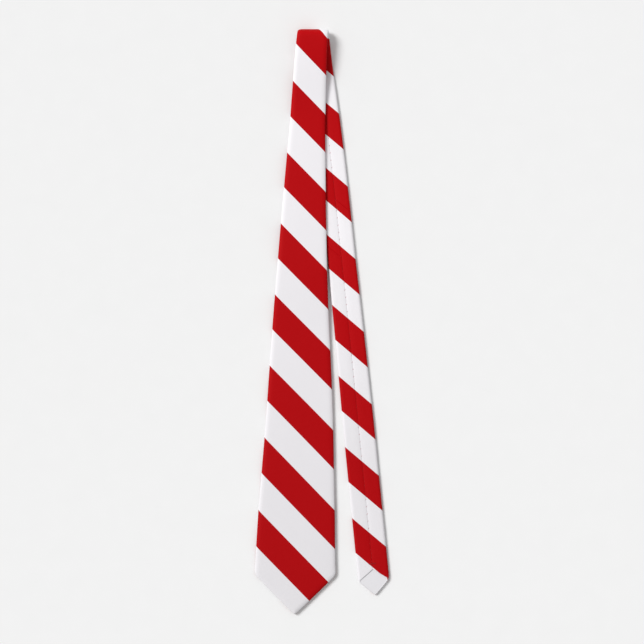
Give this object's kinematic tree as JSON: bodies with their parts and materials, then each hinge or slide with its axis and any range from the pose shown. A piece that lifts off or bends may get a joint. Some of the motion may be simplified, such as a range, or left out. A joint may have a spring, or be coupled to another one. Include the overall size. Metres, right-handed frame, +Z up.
{
  "type": "necktie",
  "caption": "Striped printed necktie, folded once at the neck and laid face up with the narrow end showing its back beside the wide blade.",
  "frame": {"origin": "on the table, under the middle of the folded tie's bounding box", "axes": "+Y along the tie toward the neck fold, +Z up from the table, +X across it toward the narrow end, which lies on the wide blade's right as seen from above"},
  "size_m": [0.1706, 0.7232, 0.018],
  "materials": {
    "printed_cloth": "satin-faced woven cloth, printed in even diagonal stripes of red and white",
    "interlining": "brushed wool-blend interlining, matte",
    "tipping": "plain pale grey lining cloth, slight sheen",
    "thread": "twisted sewing thread",
    "label": "blank woven satin label"
  },
  "bodies": {
    "tail_upper": {"front_panel_end": "printed_cloth", "neck_panel": "printed_cloth", "tail_panel_upper": "printed_cloth", "interlining_tail_upper": "interlining", "slip_stitch_tail_upper": "thread", "piecing_seam_front": "thread", "piecing_seam_tail": "thread"},
    "tail_lower": {"tail_panel_lower": "printed_cloth", "interlining_tail_lower": "interlining", "tail_tipping": "tipping", "slip_stitch_tail_lower": "thread", "bar_tack_tail": "thread"},
    "front_upper": {"front_panel_upper": "printed_cloth", "interlining_front_upper": "interlining", "slip_stitch_front_upper": "thread"},
    "front_lower": {"front_panel_lower": "printed_cloth", "interlining_front_lower": "interlining", "front_tipping": "tipping", "slip_stitch_front_lower": "thread", "bar_tack_front": "thread", "keeper_loop_tab_left": "printed_cloth", "keeper_loop_tab_right": "printed_cloth", "keeper_tack_left": "thread", "keeper_tack_right": "thread", "back_label": "label", "label_stitch_left": "thread", "label_stitch_right": "thread", "care_label_tab": "label"},
    "keeper_band": {"keeper_loop_band": "printed_cloth"},
    "care_label": {"care_label_flap": "label"}
  },
  "joints": [
    {"name": "neck_fold", "type": "hinge", "parent": "tail_upper", "child": "front_upper", "pos_m": [-0.0124, 0.36159, 0.009], "axis": [-1, 0, 0], "range_deg": [0, 180]},
    {"name": "front_bend", "type": "hinge", "parent": "front_upper", "child": "front_lower", "pos_m": [-0.0306, -0.09611, 0.0053], "axis": [-1, 0, 0], "range_deg": [0, 150]},
    {"name": "tail_bend", "type": "hinge", "parent": "tail_upper", "child": "tail_lower", "pos_m": [0.04255, -0.09316, 0.0041], "axis": [-1, 0, 0], "range_deg": [0, 150]},
    {"name": "keeper_slack", "type": "slide", "parent": "front_lower", "child": "keeper_band", "axis": [0, 0, -1], "range_m": [0, 0.005]},
    {"name": "care_label_lift", "type": "hinge", "parent": "front_lower", "child": "care_label", "pos_m": [-0.05594, -0.15574, 0.0004], "axis": [0.9998, -0.0207, 0], "range_deg": [0, 140]}
  ]
}
